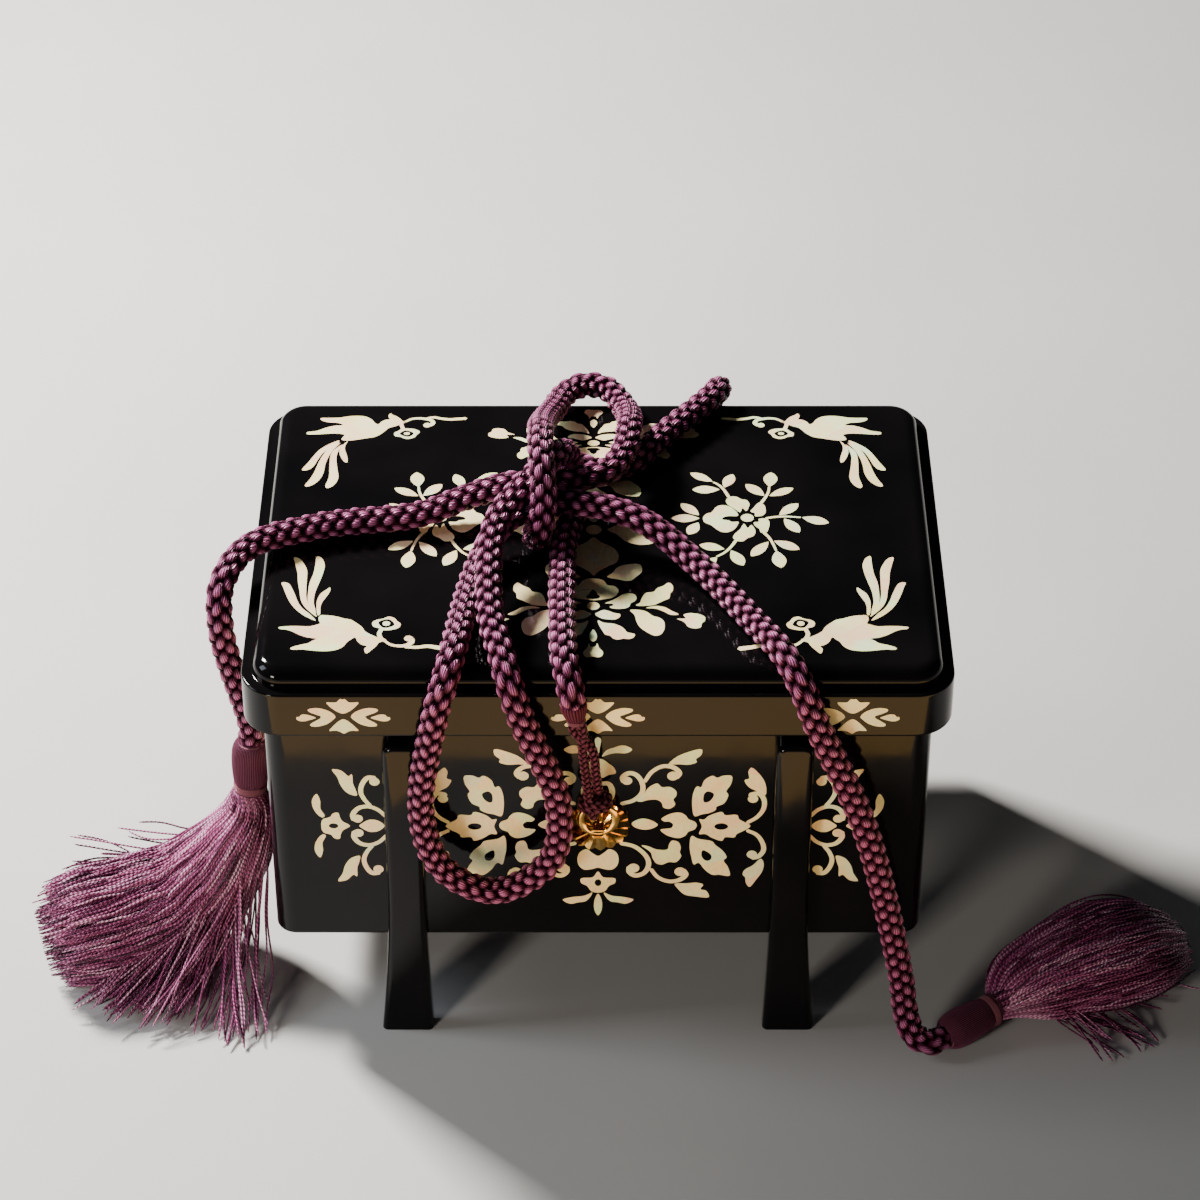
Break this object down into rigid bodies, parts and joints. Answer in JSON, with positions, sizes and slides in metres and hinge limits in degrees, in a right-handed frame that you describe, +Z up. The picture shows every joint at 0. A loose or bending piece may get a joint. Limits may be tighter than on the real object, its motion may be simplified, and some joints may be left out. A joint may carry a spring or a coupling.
{
  "type": "lacquer keepsake box",
  "caption": "Small lacquered chest on legs with a lift-off lid, gilt ring fittings and tasselled cords tied over the lid, for keeping small treasures.",
  "frame": {"origin": "on the floor, under the middle of the chest", "axes": "+X along the chest's long side to the right, +Y to its back, +Z up; the front, with the hanging cord loop, faces -Y"},
  "size_m": [0.4305, 0.1958, 0.2045],
  "materials": {
    "black_lacquer": "polished black lacquer over wood, inlaid with pale shell",
    "gilt_brass": "gilt, bright",
    "plum_silk": "braided silk",
    "tassel_silk": "loose twisted silk threads"
  },
  "bodies": {
    "root": {"chest_body": "black_lacquer", "lid": "black_lacquer", "leg_front_left": "black_lacquer", "leg_front_right": "black_lacquer", "leg_back_left": "black_lacquer", "leg_back_right": "black_lacquer", "front_ring_plate": "gilt_brass", "front_ring": "gilt_brass", "back_ring_plate": "gilt_brass", "back_ring": "gilt_brass", "front_ring_tie": "plum_silk", "back_ring_tie": "plum_silk", "front_whipping": "plum_silk", "back_whipping": "plum_silk", "cord_front": "plum_silk", "cord_back": "plum_silk", "tassel_head_left": "plum_silk", "tassel_head_right": "plum_silk", "tassel_skirt_left": "tassel_silk", "tassel_skirt_right": "tassel_silk"}
  },
  "joints": []
}
